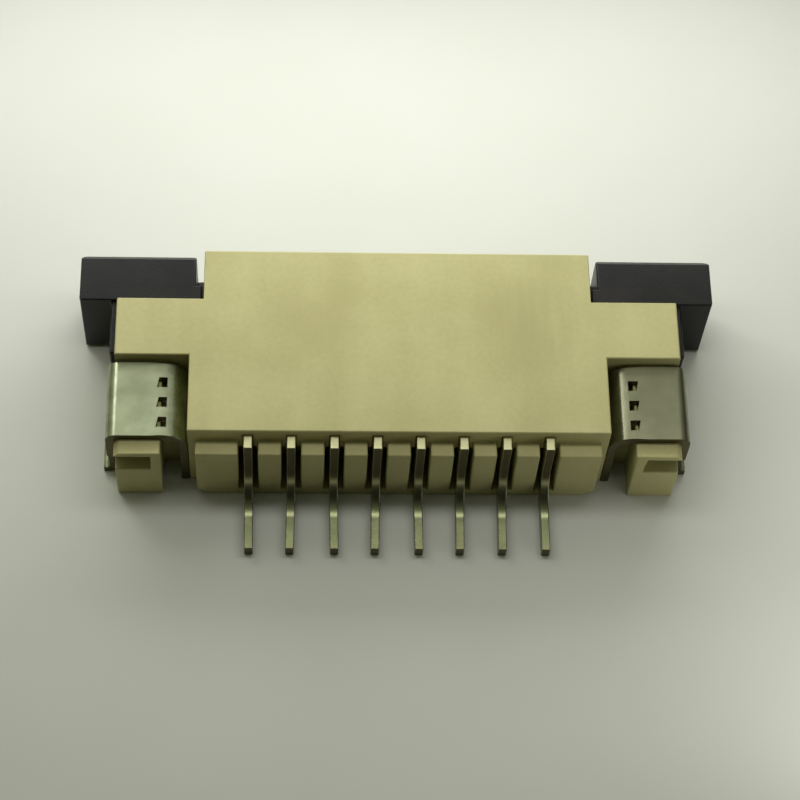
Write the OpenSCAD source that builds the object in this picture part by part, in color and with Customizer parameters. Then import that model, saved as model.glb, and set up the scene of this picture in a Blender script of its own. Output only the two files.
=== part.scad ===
// FPC connector: board mounted, right angle, top contact, with a slide lock.
//
// A moulded housing carries a row of stamped fork contacts and two folded
// solder tabs. The slider pulls out of the mouth to free the cable, and
// pushes home to wedge it up against the contact points.
//
// Millimetres. +Z is up from the board, +Y points out of the cable's mouth,
// and the solder tails leave towards -Y. The origin is on the board plane, at
// the centre of the closed connector's footprint. The modules count y from
// the rear edge of the housing's roof, and placed() moves them to the origin.

/* [Contacts] */
// Number of contacts in the row
contact_count = 8; // [4:1:14]
// Distance between neighbouring contacts
pitch = 1.0; // [0.9:0.05:1.25]
// Thickness of the stamped contact strip
contact_t = 0.2; // [0.15:0.01:0.24]
// Length of the solder foot behind its sweep
foot_len = 0.8; // [0.6:0.05:1.2]
// Height of the solder foot
foot_h = 0.34; // [0.2:0.02:0.4]
// Radius of the sweep from the back of the fork down to its foot
tail_r = 0.84; // [0.6:0.02:0.9]
// Height of the spring arm where it leaves the back of the fork
spring_root_h = 0.42; // [0.36:0.02:0.44]
// Height of the spring arm at its tip
spring_tip_h = 0.25; // [0.2:0.01:0.3]
// Drop of the spring arm's top edge from its root to its tip
spring_drop = 0.15; // [0.1:0.01:0.18]
// Radius of the contact point
point_r = 0.18; // [0.12:0.01:0.22]
// Height of the lower arm that anchors the fork in the floor
anchor_h = 0.34; // [0.28:0.02:0.4]

/* [Cable] */
// Thickness of the stiffened cable end
cable_t = 0.3; // [0.2:0.02:0.34]
// Distance from the outer contacts to the cable's edges
cable_edge = 1.0; // [0.9:0.05:1.2]
// Squeeze on the cable when the slider is home
cable_squeeze = 0.08; // [0.04:0.01:0.12]

/* [Housing] */
// Height of the housing above the board
housing_h = 2.5; // [2.44:0.02:2.9]
// Step from the roof down to the rear ledge and the side blocks
ledge_drop = 0.46; // [0.4:0.01:0.5]
// Depth of the rear ledge behind the roof
ledge_d = 0.38; // [0.3:0.02:0.5]
// Length of the roof behind the wings
back_len = 2.0; // [1.9:0.05:2.3]
// Length of the wings along the cable
wing_len = 1.53; // [1.4:0.03:1.7]
// Length of the nose in front of the wings
nose_len = 1.32; // [1.2:0.03:1.5]
// Wall beside the cable, behind the wings
side_wall = 0.32; // [0.25:0.01:0.4]
// Reach of each wing beyond the back of the housing
wing_reach = 1.74; // [1.7:0.02:2.0]
// Skin of the roof over the contact slots
roof_skin = 0.2; // [0.15:0.01:0.25]
// Skin of the floor under the contact slots
floor_skin = 0.25; // [0.2:0.01:0.28]
// Thickness of the floor that the slider's tongue runs on
floor_h = 0.7; // [0.68:0.01:0.74]
// Width of the open pocket round the back of each contact
pocket_w = 0.46; // [0.4:0.02:0.54]
// Wall between the contact pockets and the end of the cable
stop_wall = 0.45; // [0.35:0.05:0.5]
// Width of each side block
block_w = 1.07; // [1.0:0.01:1.08]

/* [Slider] */
// Travel from home to fully open
slider_travel = 1.0; // [0.8:0.05:1.05]
// Thickness of the tongue under the cable
tongue_t = 0.5; // [0.44:0.01:0.52]
// Thickness of the tongue at its leading tip
tongue_tip_t = 0.25; // [0.2:0.01:0.3]
// Length of the tongue behind the bar
tongue_len = 2.08; // [1.9:0.02:2.2]
// Reach of each ear beyond the side of its wing
ear_reach = 0.9; // [0.7:0.05:1.2]
// Thickness of the latch arms
arm_t = 0.28; // [0.2:0.01:0.32]
// Height of the latch arms
arm_h = 0.55; // [0.4:0.01:0.6]
// Length of each latch arm behind the front of the wings
arm_len = 1.33; // [1.3:0.01:1.4]
// Part of each latch arm's thickness that lies within its wing
arm_sink = 0.13; // [0.1:0.01:0.16]
// Gap between the nose and the ears beside it
ear_gap = 0.2; // [0.1:0.02:0.3]
// Drop from the top of the housing to the top of the ears
ear_drop = 0.2; // [0.1:0.02:0.3]
// Height of the slider's underside above the board
slider_lift = 0.06; // [0.04:0.01:0.15]

/* [Solder tabs] */
// Thickness of the tab's sheet
tab_t = 0.2; // [0.14:0.01:0.22]
// Gap between the tab's front edge and the wing
tab_gap = 0.08; // [0.04:0.02:0.3]
// Outside radius of the fold beside the roof
inner_fold_r = 0.6; // [0.5:0.02:0.6]
// Outside radius of the fold at the outer edge
outer_fold_r = 0.26; // [0.24:0.01:0.3]
// Distance from the tab's rear edge to its solder leg
leg_back = 0.2; // [0.15:0.05:0.4]
// Length of the solder leg along the cable
leg_len = 1.1; // [0.8:0.05:1.3]
// Reach of the tab's solder foot beyond its leg
tab_foot = 0.15; // [0.12:0.01:0.4]

/* [Fits] */
// Running clearance round the slider
slide_clear = 0.05; // [0.03:0.01:0.06]
// Clearance on each side of a contact or a tab in its slot
slot_clear = 0.01; // [0.01:0.005:0.03]

/* [Hidden] */
$fn = 64;
over = 0.2; // how far a cut or a joined piece runs past a face

// Heights above the board
ledge_z = housing_h - ledge_drop;
ear_z = housing_h - ear_drop;
slot_top_z = housing_h - roof_skin;
tongue_z = floor_h + slide_clear;
tongue_top_z = tongue_z + tongue_t;
roof_z = tongue_top_z + cable_t + 0.2; // underside of the roof, with room for the cable
spring_z = slot_top_z - slot_clear;
fork_low_z = floor_skin + anchor_h; // lower edge of the fork's opening
fork_high_z = spring_z - spring_root_h; // upper edge of the fork's opening
point_z = tongue_top_z + cable_t - cable_squeeze;
tab_z = ledge_z + tab_t;
skirt_z = ledge_z - 0.9; // where the tab's outer side narrows to its leg

// Places along the cable, from the roof's rear edge
tab_len = back_len - tab_gap;
wing_front = back_len + wing_len;
nose_front = wing_front + nose_len;
pocket_end = 0.6;
cable_stop = pocket_end + stop_wall;
fork_back = 0.05 - ledge_d; // the forks sit just inside the housing's rear face
fork_throat = cable_stop - 0.05; // the fork's back ends behind the cable
tail_end = fork_back - tail_r - foot_len;
heel = -ledge_d - 0.06; // the tail's lower front corner, clear of the housing
bar_back = wing_front + slide_clear;
bar_front = nose_front;
tongue_tip = bar_back - tongue_len;
tongue_taper = 1.2; // length over which the tongue thins towards its tip
point_y = tongue_tip + slider_travel + 0.45; // over the thin part once the slider is open
spring_tip = point_y + 0.45;
anchor_tip = wing_front - 0.4;
arm_back = wing_front - arm_len;
neck_front = bar_back + 0.42; // the ears reach in to the nose behind this
y_mid = (nose_front + tail_end) / 2;

// Half widths across the row
row_x = (contact_count - 1) * pitch / 2;
cable_x = row_x + cable_edge;
throat_x = cable_x + 0.08;
nose_x = cable_x + 0.1;
body_x = throat_x + side_wall;
ledge_x = body_x - 0.18;
wing_x = body_x + wing_reach;
block_x = wing_x - 0.04; // outer face of the side blocks
block_in = block_x - block_w;
arm_x = wing_x - arm_sink; // inner face of the slider's arms
slider_x = wing_x + ear_reach;
ear_x = nose_x + ear_gap;
leg_x = body_x + slot_clear; // inner face of the tab's inner leg
tab_x = block_x + tab_t; // outer face of the tab's outer leg

// Latch: each arm runs in a channel along its wing, and its barb in a groove
arm_top_z = ear_z - 0.1;
arm_low_z = arm_top_z - arm_h;
barb_d = 0.16; // reach of the barb beyond the arm's inner face
barb_len = 0.18;
groove_end = arm_back + barb_len + slider_travel + 0.02;

// Moves a piece from the roof's rear edge to the origin.
module placed() {
    translate([0, -y_mid, 0]) children();
}

// Draws its children at +X, and their mirror image at -X.
module both_sides() {
    children();
    mirror([1, 0, 0]) children();
}

// A box between two corners.
module block(low, high) {
    translate(low) cube(high - low);
}

// Extrudes each outline, drawn in y and z, to a width across the row.
module across(w) {
    for (i = [0:$children - 1])
        translate([-w / 2, 0, 0]) rotate([90, 0, 90]) linear_extrude(w) children(i);
}

// Extrudes an outline drawn in x and z from one place to another along y.
module along(from, to) {
    translate([0, to, 0]) rotate([90, 0, 0]) linear_extrude(to - from) children();
}

// ---- Housing ----

// Body, wings and nose, before its openings are cut.
module housing_blank() {
    block([-body_x, 0, 0], [body_x, wing_front, housing_h]);
    block([-nose_x, back_len, roof_z], [nose_x, nose_front, housing_h]);
    rear_ledge();
    both_sides() {
        block([body_x - over, back_len, 0], [wing_x, wing_front, housing_h]);
        side_block();
    }
}

// The step behind the roof, with its lower corners cut off.
module rear_ledge() {
    corner = 0.25;
    along(-ledge_d, over) polygon([
        [-ledge_x, corner], [corner - ledge_x, 0], [ledge_x - corner, 0],
        [ledge_x, corner], [ledge_x, ledge_z], [-ledge_x, ledge_z]
    ]);
}

// Carries the solder tab beside the roof. Its outer top edge is relieved for
// the tab's fold, and a web joins it to the body beside the inner leg.
module side_block() {
    relief = outer_fold_r - tab_t + 0.06;
    web_back = 0.5;
    along(-ledge_d, back_len + over) polygon([
        [block_in, 0], [block_x, 0], [block_x, ledge_z - relief],
        [block_x - relief, ledge_z], [block_in, ledge_z]
    ]);
    block(
        [leg_x + tab_t + slot_clear, web_back, 0],
        [block_in + over, back_len + over, tab_z - inner_fold_r]
    );
}

// The mouth, with the cable's path over the slider's tongue, and a lead-in
// for the cable under the front of the nose.
module throat() {
    lead = 0.25;
    block([-throat_x, cable_stop, floor_h], [throat_x, nose_front + over, roof_z]);
    across(2 * (nose_x + over)) polygon([
        [nose_front - 1.5 * lead, roof_z], [nose_front, roof_z + lead],
        [nose_front + over, roof_z + lead], [nose_front + over, roof_z - over],
        [nose_front - 1.5 * lead, roof_z - over]
    ]);
}

// One contact's way in: a close slot that grips the strip, and a wider pocket
// round its back that opens at the ledge and the rear face.
module contact_slot() {
    rear = -ledge_d - over;
    across(contact_t + 2 * slot_clear) {
        translate([-over, floor_skin]) square([cable_stop + 2 * over, slot_top_z - floor_skin]);
        translate([0, floor_skin]) square([anchor_tip + 0.05, floor_h + over - floor_skin]);
        translate([0, roof_z - over]) square([spring_tip + 0.1, slot_top_z - roof_z + over]);
    }
    across(pocket_w) polygon([
        [rear, floor_skin], [pocket_end, floor_skin], [pocket_end, fork_high_z - 0.15],
        [0, fork_high_z - 0.15], [0, ledge_z + over], [rear, ledge_z + over]
    ]);
}

// The channel along a wing's side for a latch arm, and the groove for its
// barb, shut at the front where the slider stops. A wall shuts both behind.
module latch_channel() {
    rear = arm_back - slide_clear;
    low = arm_low_z - slide_clear;
    high = arm_top_z + slide_clear;
    block([arm_x - slide_clear, rear, low], [wing_x + over, wing_front + over, high]);
    block([arm_x - barb_d - slide_clear, rear, low], [wing_x, groove_end, high]);
}

// The slot cored into the rear of a side block, open at its outer face.
module block_slot() {
    slot_in = block_x - 0.84;
    slot_front = back_len - 0.3;
    block([slot_in, -ledge_d - over, ledge_z - 0.78], [block_x + over, slot_front, ledge_z - 0.14]);
}

module housing() {
    color("#c9bf8e") placed() difference() {
        housing_blank();
        throat();
        for (i = [0:contact_count - 1])
            translate([i * pitch - row_x, 0, 0]) contact_slot();
        both_sides() {
            latch_channel();
            block_slot();
        }
    }
}

// ---- Slider ----

// Plan of an ear, in front of its wing. Its outer front corner is rounded,
// and a neck behind reaches in to the nose.
module ear_plan() {
    corner_r = 0.15;
    difference() {
        translate([ear_x, bar_back]) square([slider_x - ear_x, bar_front - bar_back]);
        difference() {
            translate([slider_x, bar_front] - [corner_r, corner_r]) square(corner_r + over);
            translate([slider_x, bar_front] - [corner_r, corner_r]) circle(corner_r);
        }
    }
    translate([nose_x + slide_clear, bar_back]) square([ear_gap, neck_front - bar_back]);
}

// An ear, with a finger chamfer along its top front edge, and its latch arm.
module slider_side() {
    chamfer = 0.14;
    difference() {
        translate([0, 0, slider_lift]) linear_extrude(ear_z - slider_lift) ear_plan();
        translate([nose_x + slider_x / 2, 0, 0]) across(slider_x) polygon([
            [bar_front - chamfer, ear_z], [bar_front, ear_z - chamfer],
            [bar_front + over, ear_z - chamfer], [bar_front + over, ear_z + over],
            [bar_front - chamfer, ear_z + over]
        ]);
    }
    latch_arm();
}

// The arm's barb slopes in at the rear, and its front face is the stop.
module latch_arm() {
    translate([0, 0, arm_low_z]) linear_extrude(arm_h) polygon([
        [arm_x, bar_back + over], [arm_x, arm_back + barb_len],
        [arm_x - barb_d, arm_back + barb_len], [arm_x - barb_d, arm_back + 0.1],
        [arm_x, arm_back], [arm_x + arm_t, arm_back], [arm_x + arm_t, bar_back + over]
    ]);
}

// Section of the bar under the mouth, and of the tongue behind it.
module slider_section() {
    lead = 0.2;
    polygon([
        [bar_back, slider_lift], [bar_front, slider_lift], [bar_front, tongue_top_z - lead],
        [bar_front - 1.5 * lead, tongue_top_z], [tongue_tip + tongue_taper, tongue_top_z],
        [tongue_tip, tongue_z + tongue_tip_t], [tongue_tip, tongue_z], [bar_back, tongue_z]
    ]);
}

module slider() {
    color("#232124") placed() {
        across(2 * (throat_x - slide_clear)) slider_section();
        // carries the bar across to the ears, below the cable
        block([-ear_x - over, bar_back, slider_lift], [ear_x + over, bar_front, tongue_top_z - 0.2]);
        both_sides() slider_side();
    }
}

// ---- Contacts ----

// Back of the fork, from the floor of its slot to the roof.
module fork_spine() {
    translate([fork_back, floor_skin]) square([fork_throat - fork_back, spring_z - floor_skin]);
}

// Fills an inside corner of the fork's opening, above or below an arm.
module corner_round(side) {
    r = 0.25;
    difference() {
        translate([-over, side > 0 ? -over : -r]) square(r + over);
        translate([r, side * r]) circle(r);
    }
}

// Upper arm, which bends as the cable is wedged against its point.
module spring_arm() {
    tip_z = spring_z - spring_drop;
    low_z = tip_z - spring_tip_h;
    polygon([
        [fork_throat - over, fork_high_z], [fork_throat - over, spring_z],
        [fork_throat + 0.4, spring_z], [spring_tip - 0.12, tip_z], [spring_tip, tip_z - 0.12],
        [spring_tip, low_z + 0.08], [spring_tip - 0.08, low_z], [point_y - point_r, low_z],
        [fork_throat, fork_high_z]
    ]);
}

// The point that touches the cable, under the end of the upper arm.
module contact_point() {
    root_z = spring_z - spring_drop - spring_tip_h / 2;
    translate([point_y - point_r, point_z + point_r])
        square([2 * point_r, root_z - point_z - point_r]);
    translate([point_y, point_z + point_r]) circle(point_r);
}

// Lower arm, tapered where it enters the floor.
module anchor_arm() {
    polygon([
        [fork_throat - over, floor_skin], [anchor_tip - 0.3, floor_skin],
        [anchor_tip, floor_skin + 0.12], [anchor_tip, fork_low_z - 0.06],
        [anchor_tip - 0.2, fork_low_z], [fork_throat - over, fork_low_z]
    ]);
}

// Sweeps from the back of the fork down to the solder foot.
module tail() {
    sweep_y = fork_back - tail_r;
    difference() {
        polygon([
            [fork_back + over, floor_skin], [heel, floor_skin], [heel, 0], [tail_end, 0],
            [tail_end, foot_h], [sweep_y, foot_h], [sweep_y, foot_h + tail_r],
            [fork_back + over, foot_h + tail_r]
        ]);
        translate([sweep_y, foot_h + tail_r]) circle(tail_r);
    }
}

module contact(number) {
    color("#a9aa98") placed() translate([(number - 1) * pitch - row_x, 0, 0]) across(contact_t) {
        fork_spine();
        translate([fork_throat, fork_low_z]) corner_round(1);
        translate([fork_throat, fork_high_z]) corner_round(-1);
        spring_arm();
        contact_point();
        anchor_arm();
        tail();
    }
}

// ---- Solder tabs ----

// A quarter ring of the tab's sheet. The signs of side pick its quarter.
module fold(centre, r, side) {
    translate(centre) intersection() {
        difference() {
            circle(r);
            circle(r - tab_t);
        }
        translate([min(side[0], 0) * r, min(side[1], 0) * r]) square(r);
    }
}

// Section across the tab: inner leg, fold, plate, fold and outer side.
module tab_section() {
    translate([leg_x, 0]) square([tab_t, tab_z - inner_fold_r]);
    fold([leg_x + inner_fold_r, tab_z - inner_fold_r], inner_fold_r, [-1, 1]);
    translate([leg_x + inner_fold_r, ledge_z])
        square([tab_x - outer_fold_r - leg_x - inner_fold_r, tab_t]);
    fold([tab_x - outer_fold_r, tab_z - outer_fold_r], outer_fold_r, [1, 1]);
    translate([block_x, skirt_z]) square([tab_t, tab_z - outer_fold_r - skirt_z]);
}

// Section across the outer leg, which turns out into a foot on the board.
module leg_section() {
    bend_r = tab_t + 0.1;
    translate([block_x, bend_r]) square([tab_t, skirt_z + over - bend_r]);
    fold([block_x + bend_r, bend_r], bend_r, [-1, -1]);
    translate([block_x + bend_r, 0]) square([tab_x + tab_foot - block_x - bend_r, tab_t]);
}

// The tab at +X, with a row of small windows along its inner fold.
module solder_tab() {
    window_l = 0.26;
    window_x = [leg_x + 0.48, leg_x + 0.7];
    window_step = 0.52;
    first_window = 0.23; // from the tab's rear edge
    difference() {
        union() {
            along(0, tab_len) tab_section();
            along(leg_back, leg_back + leg_len) leg_section();
        }
        for (step = [0:2]) {
            window_y = first_window + step * window_step;
            block(
                [window_x[0], window_y, ledge_z - over],
                [window_x[1], window_y + window_l, tab_z + over]
            );
        }
    }
}

module solder_tab_left() {
    color("#a9aa98") placed() mirror([1, 0, 0]) solder_tab();
}

module solder_tab_right() {
    color("#a9aa98") placed() solder_tab();
}

housing();
slider();
for (i = [1:contact_count])
    contact(i);
solder_tab_left();
solder_tab_right();
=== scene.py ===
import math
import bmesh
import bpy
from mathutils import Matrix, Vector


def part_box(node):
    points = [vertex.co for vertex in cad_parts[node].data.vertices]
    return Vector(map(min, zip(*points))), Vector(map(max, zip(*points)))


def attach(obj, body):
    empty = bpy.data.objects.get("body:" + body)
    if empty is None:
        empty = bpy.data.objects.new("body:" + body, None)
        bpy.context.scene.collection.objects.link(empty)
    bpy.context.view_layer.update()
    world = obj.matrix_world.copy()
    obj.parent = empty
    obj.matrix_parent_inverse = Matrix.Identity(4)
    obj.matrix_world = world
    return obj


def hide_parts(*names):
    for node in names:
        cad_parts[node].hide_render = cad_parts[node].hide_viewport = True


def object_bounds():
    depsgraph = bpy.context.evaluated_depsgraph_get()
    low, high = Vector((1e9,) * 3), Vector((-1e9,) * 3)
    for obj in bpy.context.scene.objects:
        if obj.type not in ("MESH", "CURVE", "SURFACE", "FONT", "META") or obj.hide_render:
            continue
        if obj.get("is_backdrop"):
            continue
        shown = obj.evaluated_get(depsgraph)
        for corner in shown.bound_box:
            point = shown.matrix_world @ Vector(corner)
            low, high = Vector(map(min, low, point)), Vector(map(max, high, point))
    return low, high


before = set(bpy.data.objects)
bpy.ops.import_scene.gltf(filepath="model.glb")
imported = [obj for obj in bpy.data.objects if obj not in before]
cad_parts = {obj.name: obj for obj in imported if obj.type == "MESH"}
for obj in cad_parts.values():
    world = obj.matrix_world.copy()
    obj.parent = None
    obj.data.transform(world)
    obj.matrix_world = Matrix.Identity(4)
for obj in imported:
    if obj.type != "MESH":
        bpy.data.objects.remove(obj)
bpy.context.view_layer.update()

# %% [markdown]
# # A slide-lock connector for a flat flexible cable
# The real thing is about 15 mm wide. It is made of two plastic mouldings and
# ten small metal pieces. The working shapes come from the frame that was just
# loaded. This script gives each piece softened edges, a finish and a light to
# be seen by, and never moves or resizes the frame's own parts.

MM = 0.001
housing_low, housing_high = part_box("housing")
slider_low, slider_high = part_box("slider")
contacts = sorted(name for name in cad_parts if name.startswith("contact_"))
tabs = sorted(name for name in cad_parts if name.startswith("solder_tab"))
print(len(contacts), "contacts and", len(tabs), "solder tabs")

# %% [markdown]
# ## The camera
# The view is the one of someone who inspects the soldering: from behind, on
# the side of the tails, looking down with a long lens. The long lens keeps the
# row of contacts nearly parallel. The camera is turned a little about its own
# axis, as a hand-held one is. It is built from an azimuth, an elevation and a
# roll, because those three can be read and changed one at a time.

# %% Where the camera stands
camera_azimuth = math.radians(-5.26)
camera_elevation = math.radians(61.77)
camera_roll = math.radians(5.1)
camera_distance = 55.64 * MM
look_at = Vector((0.01 * MM, -0.6 * MM, housing_high[2]))
print("camera looks at", [round(v / MM, 2) for v in look_at], "mm")

# %% Which way it faces
backwards = Vector((
    math.sin(camera_azimuth) * math.cos(camera_elevation),
    -math.cos(camera_azimuth) * math.cos(camera_elevation),
    math.sin(camera_elevation),
))
level_right = (-backwards).cross(Vector((0, 0, 1))).normalized()
level_up = backwards.cross(level_right)
right = math.cos(camera_roll) * level_right + math.sin(camera_roll) * level_up
up = math.cos(camera_roll) * level_up - math.sin(camera_roll) * level_right
print("camera looks along", [round(-v, 2) for v in backwards])

# %% Lens and camera
camera_data = bpy.data.cameras.new("camera")
camera_data.lens = 108.0
camera_data.sensor_width = 36.0
camera_data.clip_start = 1 * MM
camera_data.clip_end = 10.0
camera = bpy.data.objects.new("camera", camera_data)
bpy.context.scene.collection.objects.link(camera)
for row in range(3):
    camera.matrix_world[row][0] = right[row]
    camera.matrix_world[row][1] = up[row]
    camera.matrix_world[row][2] = backwards[row]
    camera.matrix_world[row][3] = (look_at + backwards * camera_distance)[row]
bpy.context.scene.camera = camera
bpy.context.scene.view_settings.view_transform = "Standard"
print("camera is", round(camera_distance / MM), "mm away")

# %% [markdown]
# ## Shader sums as plain Python
# A finish is mostly arithmetic on patterns. Wiring Math nodes by hand hides
# that arithmetic, so a small class stands for one socket and turns + - * /
# into nodes. Any other node comes from one method that takes its settings and
# the values or links of its sockets.

# %% One output, used in sums
class Reading:
    """One output socket of a finish, which can be used in sums."""

    def __init__(self, finish, socket):
        self.finish = finish
        self.socket = socket

    def sum_node(self, operation, first, second):
        return self.finish.node("Math", {"operation": operation}, Value=first, Value_001=second)["Value"]

    def __add__(self, other):
        return self.sum_node("ADD", self, other)

    def __sub__(self, other):
        return self.sum_node("SUBTRACT", self, other)

    def __mul__(self, other):
        return self.sum_node("MULTIPLY", self, other)

    def __truediv__(self, other):
        return self.sum_node("DIVIDE", self, other)

    def __pow__(self, other):
        return self.sum_node("POWER", self, other)

    def __rsub__(self, other):
        return self.sum_node("SUBTRACT", other, self)

    def __rtruediv__(self, other):
        return self.sum_node("DIVIDE", other, self)

    __radd__ = __add__
    __rmul__ = __mul__

    def lower_of(self, other):
        return self.sum_node("MINIMUM", self, other)

    def higher_of(self, other):
        return self.sum_node("MAXIMUM", self, other)


print("a reading takes part in sums")


# %% The outputs of one node
class Outputs:
    """The outputs of one node, looked up by their identifiers."""

    def __init__(self, finish, node):
        self.finish = finish
        self.made = node

    def __getitem__(self, key):
        socket = next(s for s in self.made.outputs if s.identifier == key)
        return Reading(self.finish, socket)


print("outputs are found by identifier")

# %% [markdown]
# ## One method for every node
# Each kind of node has its own sockets and settings, and a separate function
# for each would be a long list to learn. One method covers them all: the
# settings are written first, because they decide which sockets exist, and then
# each socket gets a number or a link. A material and a room both use it.

# %% A tree that nodes are added to
class Wiring:
    """A node tree that shader nodes are added to."""

    def __init__(self, tree):
        self.tree = tree

    def node(self, kind, settings=None, **sockets):
        made = self.tree.nodes.new("ShaderNode" + kind)
        for key, value in (settings or {}).items():
            setattr(made, key, value)
        for key, value in sockets.items():
            target = next(s for s in made.inputs if s.identifier.replace(" ", "_") == key)
            if isinstance(value, Reading):
                self.tree.links.new(value.socket, target)
            else:
                target.default_value = value
        return Outputs(self, made)

    def ramp(self, value, low, high):
        """0 at low and 1 at high, smoothly between them. low may be the larger."""
        return self.node("MapRange", {"interpolation_type": "SMOOTHSTEP"},
                         Value=value, From_Min=low, From_Max=high)["Result"]


print("one method adds any node")


# %% A finish, measured in millimetres
class Finish(Wiring):
    """A material, with its Principled shader and a place measured in mm."""

    def __init__(self, name, **constants):
        self.material = bpy.data.materials.new(name)
        self.material.use_nodes = True
        super().__init__(self.material.node_tree)
        self.shader = self.tree.nodes["Principled BSDF"]
        for socket, value in constants.items():
            self.shader.inputs[socket.replace("_", " ")].default_value = value
        place = self.node("TexCoord")["Object"]
        self.mm = self.node("VectorMath", {"operation": "SCALE"}, Vector=place, Scale=1 / MM)["Vector"]
        split = self.node("SeparateXYZ", Vector=self.mm)
        self.x, self.y, self.z = split["X"], split["Y"], split["Z"]

    def feed(self, socket, reading):
        self.tree.links.new(reading.socket, self.shader.inputs[socket])

    def noise(self, size_mm, detail=2.0, roughness=0.5, stretch=(1, 1, 1), shift=(0, 0, 0)):
        """Smooth random values from 0 to 1, with lumps of about size_mm."""
        placed = self.node("VectorMath", {"operation": "MULTIPLY_ADD"},
                           Vector=self.mm, Vector_001=stretch, Vector_002=shift)["Vector"]
        return self.node("TexNoise", Vector=placed, Scale=1 / size_mm, Detail=detail,
                         Roughness=roughness)["Fac"]

    def blend(self, amount, first, second, mode="MIX"):
        """A colour between two others, where a colour may be a link or four numbers."""
        return self.node("Mix", {"data_type": "RGBA", "blend_type": mode},
                         Factor_Float=amount, A_Color=first, B_Color=second)["Result_Color"]

    def bump(self, height_mm, strength=1.0):
        normal = self.node("Bump", Height=height_mm, Strength=strength, Distance=MM)["Normal"]
        self.feed("Normal", normal)


print("a finish knows its place in mm")


# %% Colours as a screen shows them
def srgb(red, green, blue):
    """A colour from its screen values, 0 to 255, as a shader takes it."""
    def linear(value):
        value /= 255
        return value / 12.92 if value < 0.04045 else ((value + 0.055) / 1.055) ** 2.4
    return (linear(red), linear(green), linear(blue), 1.0)


print("mid grey is", round(srgb(128, 128, 128)[0], 3), "in linear light")

# %% [markdown]
# ## The bench
# The connector lies on a pale grey bench top, painted or laminated, with a
# tone that wanders a little over each few millimetres. A picture of a bench
# could be laid on it, but noise has no edge and never repeats. The sheet sits
# a hair below the board plane, so that the feet rest on top of it.

# %% Bench
def sheet_object(name, size):
    """A square sheet of the given size that lies on the board plane."""
    half = size / 2
    mesh = bpy.data.meshes.new(name)
    corners = [(-half, -half, 0), (half, -half, 0), (half, half, 0), (-half, half, 0)]
    mesh.from_pydata(corners, [], [(0, 1, 2, 3)])
    made = bpy.data.objects.new(name, mesh)
    bpy.context.scene.collection.objects.link(made)
    return made


bench_paint = Finish("bench paint", Roughness=0.75)
bench_tone = bench_paint.noise(6.0, detail=3.0)
bench_paint.feed("Base Color", bench_paint.blend(bench_tone, srgb(214, 216, 204), srgb(224, 226, 216)))
bench = sheet_object("bench", 1.2)
bench.location = (0, 0, -0.002 * MM)
bench.data.materials.append(bench_paint.material)
bench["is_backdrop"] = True
print("bench is", round(bench.dimensions.x, 1), "m wide")

# %% [markdown]
# ## Lamps and room
# The main light is a window in front of the cable's mouth, close enough to
# fade across the bench, so the tails are on the shaded side. A ceiling panel
# fills the tops. A side window gives the folded tabs their bright line, and a
# weak bench lamp lifts the right-hand blocks. Oblong area lamps are used
# because flat metal mirrors the shape of whatever lights it. A dim room, which
# is lighter towards the windows, fills what is left.

# %% One lamp
def area_lamp(name, place_mm, target_mm, wide_mm, high_mm, power):
    """An oblong lamp that faces a point."""
    data = bpy.data.lights.new(name, "AREA")
    data.shape = "RECTANGLE"
    data.size = wide_mm * MM
    data.size_y = high_mm * MM
    data.energy = power
    lamp = bpy.data.objects.new(name, data)
    lamp.location = Vector(place_mm) * MM
    aim = Vector(target_mm) * MM - lamp.location
    lamp.rotation_euler = aim.to_track_quat("-Z", "Y").to_euler()
    lamp.visible_camera = False
    bpy.context.scene.collection.objects.link(lamp)
    return lamp


print("lamps face a point that is given in mm")

# %% Windows and panels
area_lamp("window", (0, 13.5, 10), (0, 0, 1.5), 30, 6, 0.0025)
area_lamp("ceiling panel", (0, 1.8, 18), (0, 0.5, 0), 22, 3, 0.00088)
area_lamp("side window", (-20, 18.5, 24), (4, 0, 2), 8, 12, 0.0015)
area_lamp("bench lamp", (12, -7, 3.5), (6, -1, 1), 8, 5, 0.00015)
print("lamps:", len(bpy.data.lights))

# %% Room

room = bpy.data.worlds.new("room")
room.use_nodes = True
bpy.context.scene.world = room
walls = Wiring(room.node_tree)
facing = walls.node("SeparateXYZ", Vector=walls.node("TexCoord")["Generated"])
lightness = walls.ramp(facing["Y"] * 0.7 + facing["Z"] * 0.5 - facing["X"] * 0.3, -0.1, 0.9)
wall_strength = 0.02 + lightness * 0.42
background = room.node_tree.nodes["Background"]
background.inputs["Color"].default_value = srgb(240, 243, 215)
room.node_tree.links.new(wall_strength.socket, background.inputs["Strength"])
print("room is made")

# %% [markdown]
# ## Softened edges
# No moulding or stamping has a knife edge: plastic shrinks away from the
# corners of its mould, and a punch rolls the edge of the strip. A bevel makes
# that rounding and catches the light. It is worked on a copy of the frame's
# mesh, after its triangles are merged into whole faces. Edges that have no
# room for the rounding are left sharp, so that nothing folds over.

# %% Is there room to round an edge
def has_room(edge, width):
    """True if the edge and its neighbours are long enough to be rounded."""
    if edge.calc_length() < 2 * width:
        return False
    for vertex in edge.verts:
        for other in vertex.link_edges:
            if other is not edge and other.calc_length() < 2.1 * width:
                return False
    return True


print("short edges stay sharp")
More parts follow.
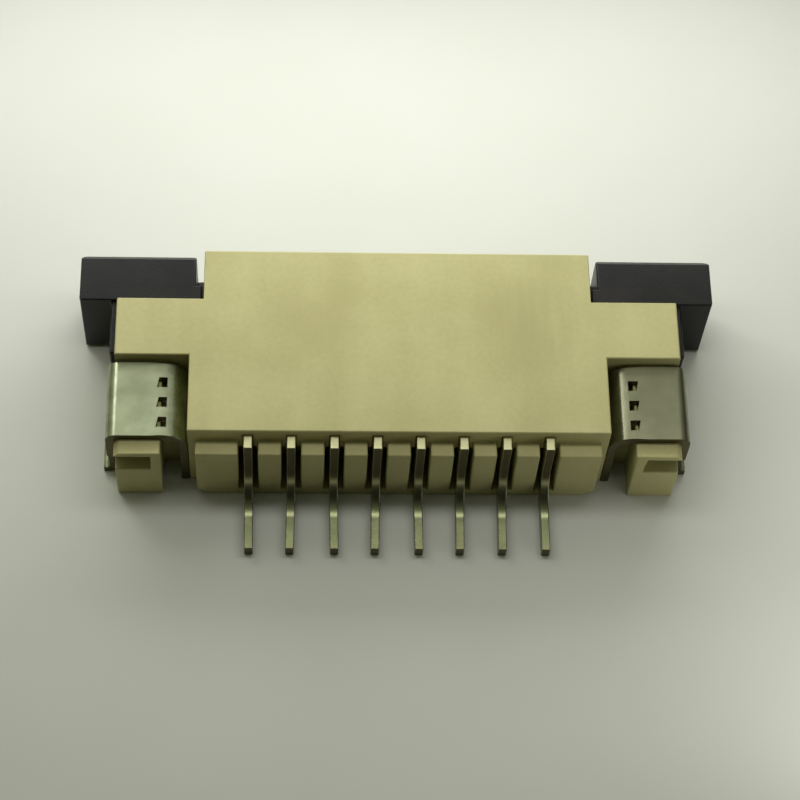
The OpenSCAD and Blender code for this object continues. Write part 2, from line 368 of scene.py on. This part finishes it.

# %% [markdown]
# ## Flat faces that stay flat
# A rounded edge is only smooth if its normals turn evenly, while the moulded
# or rolled face beside it is truly flat. The Weighted Normal modifier tilts
# such faces on pieces this small. So each corner takes its normal
# from the flat faces nearby, and only the roundings blend from one to the next.

# %% Normals
def even_shading(mesh, is_rounding):
    """Keeps flat faces flat, so that only the roundings turn the light."""
    touching = [[] for _ in mesh.vertices]
    for face in mesh.polygons:
        for vertex in face.vertices:
            touching[vertex].append(face)
    normals = []
    for face in mesh.polygons:
        closest = math.cos(math.radians(50 if is_rounding[face.index] else 30))
        for vertex in face.vertices:
            near = [f for f in touching[vertex] if f.normal.dot(face.normal) > closest]
            plain = [f for f in near if not is_rounding[f.index]]
            normals.append(sum((f.normal * f.area for f in plain or near), Vector()).normalized())
    mesh.normals_split_custom_set(normals)


print("normals follow the flat faces")


# %% A rounded copy of a frame node
def rounded_copy(node, name, width_mm, segments=3):
    """A copy of a frame node with its edges rounded, in the same place."""
    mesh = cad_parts[node].data.copy()
    mesh.name = name
    width = width_mm * MM
    work = bmesh.new()
    work.from_mesh(mesh)
    bmesh.ops.remove_doubles(work, verts=work.verts, dist=0.0005 * MM)
    bmesh.ops.dissolve_limit(work, angle_limit=math.radians(1.0), verts=work.verts, edges=work.edges)
    corners = [e for e in work.edges
               if e.is_manifold and e.calc_face_angle(0) > math.radians(32) and has_room(e, width)]
    made_faces = bmesh.ops.bevel(work, geom=corners, offset=width, offset_type="OFFSET", segments=segments,
                                 profile=0.5, affect="EDGES", clamp_overlap=False, loop_slide=True)["faces"]
    roundings = set(made_faces)
    is_rounding = [face in roundings for face in work.faces]
    for face in work.faces:
        face.smooth = True
    work.to_mesh(mesh)
    work.free()
    even_shading(mesh, is_rounding)
    made = bpy.data.objects.new(name, mesh)
    bpy.context.scene.collection.objects.link(made)
    print(name, "has", len(corners), "rounded edges and", len(mesh.polygons), "faces")
    return made


print("rounded copies stay where the frame has them")


# %% Dressing a piece
def dress(piece, paint, slot, body, *nodes):
    """Gives a piece its finish, its body and the nodes that it stands for."""
    piece.data.materials.clear()
    piece.data.materials.append(paint.material)
    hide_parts(*nodes)
    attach(piece, body)


# %% [markdown]
# ## The ivory moulding
# The housing is moulded in a stiff heat-proof plastic, left in its natural
# ivory. Its skin is matt and a little cloudy, with faint flow marks
# that run away from the gate. Noise at two sizes gives the clouds, a stretched
# noise gives the flow marks, and a very fine bump gives the grain.

# %% Ivory: the patterns in it
ivory = Finish("ivory plastic", Roughness=0.5, IOR=1.5, Subsurface_Weight=0.02)
ivory.shader.inputs["Subsurface Radius"].default_value = (0.4, 0.3, 0.15)
ivory.shader.inputs["Subsurface Scale"].default_value = 0.4 * MM
clouds = ivory.noise(2.6, detail=3.0)
flow = ivory.noise(1.1, detail=2.0, stretch=(1.0, 0.16, 1.0), shift=(3.0, 1.0, 0.0))
specks = ivory.noise(0.12, detail=1.0)
print("clouds, flow marks and specks")

# %% Ivory: its colour
tone = clouds * 0.55 + flow * 0.3 + specks * 0.15
ivory_colour = ivory.blend(ivory.ramp(tone, 0.3, 0.7), srgb(175, 169, 111), srgb(194, 189, 132))
print("ivory has two tones")

# %% [markdown]
# ## A rubbed place on the roof
# A part that has been handled carries a soft worn place, drawn out along the
# way that fingers push. It is a round mask crossed with narrow streaks, both
# worked out from the place on the housing, so it can be moved or removed by
# changing one point.

# %% Rubbed place
rubbed_at = (3.2, 1.6, 2.5)
streaks = ivory.noise(0.2, detail=1.0, stretch=(1.0, 0.08, 1.0), shift=(0.0, 5.0, 0.0))
patch = ivory.ramp(ivory.node("VectorMath", {"operation": "DISTANCE"}, Vector=ivory.mm,
                              Vector_001=rubbed_at)["Value"], 1.5, 0.4)
rubbed = patch * ivory.ramp(streaks, 0.42, 0.6) * 0.35
ivory.feed("Base Color", ivory.blend(rubbed, ivory_colour, srgb(166, 161, 108)))
print("rubbed place at", rubbed_at, "mm")

# %% Ivory: its skin
ivory.feed("Roughness", 0.46 + clouds * 0.12)
ivory.bump(ivory.noise(0.05, detail=3.0, roughness=0.6) * 0.003 + flow * 0.002)
print("ivory plastic has", len(ivory.tree.nodes), "nodes")

# %% Housing
housing = rounded_copy("housing", "moulded_housing", 0.04)
dress(housing, ivory, "housing_plastic", "connector", "housing")

# %% [markdown]
# ## The black slider
# The lock is one black moulding: a bar, a tongue that presses the cable onto
# the contacts, and an ear with a latch at each end. Black plastic shows little
# colour, so its form is read from the light on its edges and from a film of
# dust. A wider rounding than the housing's gives those edges their line.

# %% Black plastic
black = Finish("black plastic", Roughness=0.45, IOR=1.36)
dust = black.noise(0.9, detail=4.0, roughness=0.6)
black.feed("Base Color", black.blend(black.ramp(dust, 0.35, 0.75), srgb(9, 8, 7), srgb(20, 17, 15)))
black.feed("Roughness", 0.3 + dust * 0.14)
black.bump(black.noise(0.06, detail=3.0) * 0.003)
print("black plastic has", len(black.tree.nodes), "nodes")

# %% Slider
slider = rounded_copy("slider", "moulded_slider", 0.045)
dress(slider, black, "slider_plastic", "lock", "slider")

# %% [markdown]
# ## Tin plating
# Tabs and contacts are punched from strip that was tinned first. Plated faces
# are bright with a cloudy bloom, and rolling leaves fine lines along them. Faces
# that point along the Y axis are painted darker. They are found by their normal,
# so no piece has to be painted face by face. This stands for bare sheared metal,
# and it is also painted shade on the end faces that face away from the light.
# A third tone is painted light: metal is painted lighter the higher it stands.

# %% Tin
def tin_finish(name, dark, light, painted_light_tone, low_mm, high_mm, ripple_mm):
    """Tin plating between two tones, with a lighter third tone painted as light where it stands high."""
    tin = Finish(name, Metallic=1.0)
    bloom = tin.noise(0.45, detail=4.0, roughness=0.6)
    rolled = tin.noise(0.08, detail=2.0, stretch=(1.0, 0.12, 1.0))
    facing = tin.node("SeparateXYZ", Vector=tin.node("NewGeometry")["Normal"])
    # Painted shade: faces that point along the Y axis are darkened. This stands for bare sheared metal and
    # for shade on end faces that face away from the light.
    sheared_and_shaded = tin.ramp(tin.node("Math", {"operation": "ABSOLUTE"}, Value=facing["Y"])["Value"], 0.85, 0.97)
    plated = tin.blend(tin.ramp(bloom, 0.3, 0.7), dark, light)
    # Painted light: a lighter tone rises with height, as on the lit tops of the pins and tabs.
    high = tin.ramp(tin.z, low_mm, high_mm)
    plated = tin.blend(high, plated, painted_light_tone)
    tin.feed("Base Color", tin.blend(sheared_and_shaded, plated, srgb(96, 90, 64)))
    tin.feed("Roughness", 0.2 + bloom * 0.1 + sheared_and_shaded * 0.2 + high * 0.1)
    tin.bump(rolled * 0.0004 + tin.noise(0.5, detail=1.0) * ripple_mm)
    return tin


print("tin has plated and sheared faces")

# %% Three tins: the tabs' painted lit and painted shaded ones, and the pins'
# The left tab's tin is painted lighter, as lit, and the right tab's tin is painted darker, as shaded.
tab_tin_painted_shaded = tin_finish(
    "tab tin painted shaded", srgb(112, 114, 94), srgb(128, 130, 108),
    painted_light_tone=srgb(150, 150, 124), low_mm=2.0, high_mm=2.4, ripple_mm=0.001)
tab_tin_painted_lit = tin_finish(
    "tab tin painted lit", srgb(118, 126, 94), srgb(160, 166, 136),
    painted_light_tone=srgb(178, 184, 156), low_mm=2.0, high_mm=2.4, ripple_mm=0.012)
pin_tin = tin_finish(
    "tin plate on the pins", srgb(84, 90, 62), srgb(104, 110, 78),
    painted_light_tone=srgb(206, 204, 162), low_mm=0.15, high_mm=0.95, ripple_mm=0.0005)
print("tin finishes:", [m.name for m in bpy.data.materials if "tin" in m.name])

# %% [markdown]
# ## Solder tabs
# A folded sheet tab hugs each end of the housing and is soldered to the board,
# so that pulling on the cable doesn't lift the contacts. Each is bent from one
# strip and already holds its true folds in the frame. Only its punched edges
# are eased here. The left one's tin is painted lighter, as lit, and is more
# rippled. The right one's tin is painted darker, as shaded.

# %% Solder tabs
for name in tabs:
    tab = rounded_copy(name, name.replace("solder_tab", "folded_tab"), 0.025)
    # The left tab gets the tin painted as lit and the right tab the tin painted as shaded.
    dress(tab, tab_tin_painted_lit if name.endswith("left") else tab_tin_painted_shaded, "tab_metal", "connector", name)

# %% [markdown]
# ## The row of contacts
# All the contacts come off one strip, at an even pitch. So one blade is shaped
# and a small Geometry Nodes tree sets the row: it places the copies along a
# line, leans each tail a hair to one side, as tweezers and packing do, and
# gives them their finish.

# %% A tree that geometry nodes are added to
class GeometryTree:
    """A Geometry Nodes tree with named inputs, built step by step."""

    def __init__(self, name):
        self.tree = bpy.data.node_groups.new(name, "GeometryNodeTree")
        self.tree.interface.new_socket("Geometry", in_out="INPUT", socket_type="NodeSocketGeometry")
        self.tree.interface.new_socket("Geometry", in_out="OUTPUT", socket_type="NodeSocketGeometry")
        self.inputs = self.tree.nodes.new("NodeGroupInput")
        self.result = self.tree.nodes.new("NodeGroupOutput")
        self.settings = {}

    def input(self, name, kind, value):
        made = self.tree.interface.new_socket(name, in_out="INPUT", socket_type="NodeSocket" + kind)
        self.settings[made.identifier] = value
        return self.inputs.outputs[name]

    def add(self, kind, settings=None, links=None):
        made = self.tree.nodes.new(kind)
        for key, value in (settings or {}).items():
            setattr(made, key, value)
        for key, value in (links or {}).items():
            if isinstance(value, bpy.types.NodeSocket):
                self.tree.links.new(value, made.inputs[key])
            else:
                made.inputs[key].default_value = value
        return made

    def sum(self, operation, first, second):
        return self.add("ShaderNodeMath", {"operation": operation}, {0: first, 1: second}).outputs[0]

    def run_on(self, piece, name):
        """Runs the tree on a piece and returns the result as a plain mesh object."""
        modifier = piece.modifiers.new("tree", "NODES")
        modifier.node_group = self.tree
        for identifier, value in self.settings.items():
            modifier[identifier] = value
        evaluated = piece.evaluated_get(bpy.context.evaluated_depsgraph_get())
        mesh = bpy.data.meshes.new_from_object(evaluated)
        mesh.name = name
        bpy.data.objects.remove(piece)
        made = bpy.data.objects.new(name, mesh)
        bpy.context.scene.collection.objects.link(made)
        return made


print("geometry trees have named inputs")

# %% One blade
blade = rounded_copy(contacts[0], "blade", 0.02)
blade_low, blade_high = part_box(contacts[0])
last_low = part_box(contacts[-1])[0]
pitch = (last_low[0] - blade_low[0]) / (len(contacts) - 1)
for vertex in blade.data.vertices:
    vertex.co.x -= (blade_low[0] + blade_high[0]) / 2
print("pitch in mm:", round(pitch / MM, 3))

# %% What can be changed about the row
row = GeometryTree("row of contacts")
count = row.input("Count", "Int", len(contacts))
step = row.input("Pitch", "Float", pitch)
lean = row.input("Lean", "Float", 0.07 * MM)
seed = row.input("Seed", "Int", 4)
heel = row.input("Heel", "Float", housing_low[1])
toe = row.input("Toe", "Float", blade_low[1])
plating = row.input("Plating", "Material", pin_tin.material)
print("named inputs:", list(row.settings))

# %% Copies along a line
half_row = row.sum("MULTIPLY", row.sum("SUBTRACT", count, 1), row.sum("MULTIPLY", step, -0.5))
line = row.add("GeometryNodeMeshLine", {"mode": "OFFSET"}, {
    "Count": count,
    "Start Location": row.add("ShaderNodeCombineXYZ", None, {"X": half_row}).outputs[0],
    "Offset": row.add("ShaderNodeCombineXYZ", None, {"X": step}).outputs[0],
})
copies = row.add("GeometryNodeInstanceOnPoints", None, {
    "Points": line.outputs["Mesh"], "Instance": row.inputs.outputs["Geometry"]})
print("blades are placed by", line.name)

# %% [markdown]
# ## Tails that lean a little
# A punched tail is never quite straight: each one is nudged on its way to the
# board. A random number per blade, with a fixed seed, is stored on the copies
# before they are made real. It then shifts points sideways, by nothing at the
# housing and by the most at the toe, so the fork stays seated in its slot.

# %% A chance for each blade
chance = row.add("FunctionNodeRandomValue", {"data_type": "FLOAT"}, {"Seed": seed})
row.tree.links.new(row.add("GeometryNodeInputIndex").outputs[0], chance.inputs["ID"])
for key, limit in (("Min", -0.5), ("Max", 0.5)):
    next(s for s in chance.inputs if s.identifier == key + "_001").default_value = limit
chance_value = next(s for s in chance.outputs if s.identifier == "Value_001")
noted = row.add("GeometryNodeStoreNamedAttribute", {"data_type": "FLOAT", "domain": "INSTANCE"}, {
    "Geometry": copies.outputs["Instances"], "Name": "lean", "Value": chance_value})
real = row.add("GeometryNodeRealizeInstances", None, {"Geometry": noted.outputs["Geometry"]})
print("each blade keeps its own number")

# %% Lean
place = row.add("ShaderNodeSeparateXYZ", None,
                {"Vector": row.add("GeometryNodeInputPosition").outputs[0]})
along_tail = row.add("ShaderNodeMapRange", {"interpolation_type": "SMOOTHSTEP"}, {
    "Value": place.outputs["Y"], "From Min": heel, "From Max": toe})
own_lean = row.add("GeometryNodeInputNamedAttribute", {"data_type": "FLOAT"}, {"Name": "lean"})
sideways = row.sum("MULTIPLY", row.sum("MULTIPLY", own_lean.outputs["Attribute"], lean),
                   along_tail.outputs["Result"])
leaned = row.add("GeometryNodeSetPosition", None, {
    "Geometry": real.outputs["Geometry"],
    "Offset": row.add("ShaderNodeCombineXYZ", None, {"X": sideways}).outputs[0]})
print("the lean grows from heel to toe")

# %% Plating and the finished row
plated = row.add("GeometryNodeSetMaterial", None, {
    "Geometry": leaned.outputs["Geometry"], "Material": plating})
row.tree.links.new(plated.outputs["Geometry"], row.result.inputs[0])

contact_row = row.run_on(blade, "stamped_contacts")
dress(contact_row, pin_tin, "contact_metal", "connector", *contacts)
print("row of", len(contacts), "contacts with", len(contact_row.data.polygons), "faces")

# %% [markdown]
# ## Size of the finished look
# Rounding takes a little off the corners and nothing should stick out of the
# frame. So the corners of the box of the finished look are printed.

# %% Size of the finished look
visual_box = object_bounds()
for corner in visual_box:
    print("corner of the finished look in mm:", [round(v / MM, 2) for v in corner])
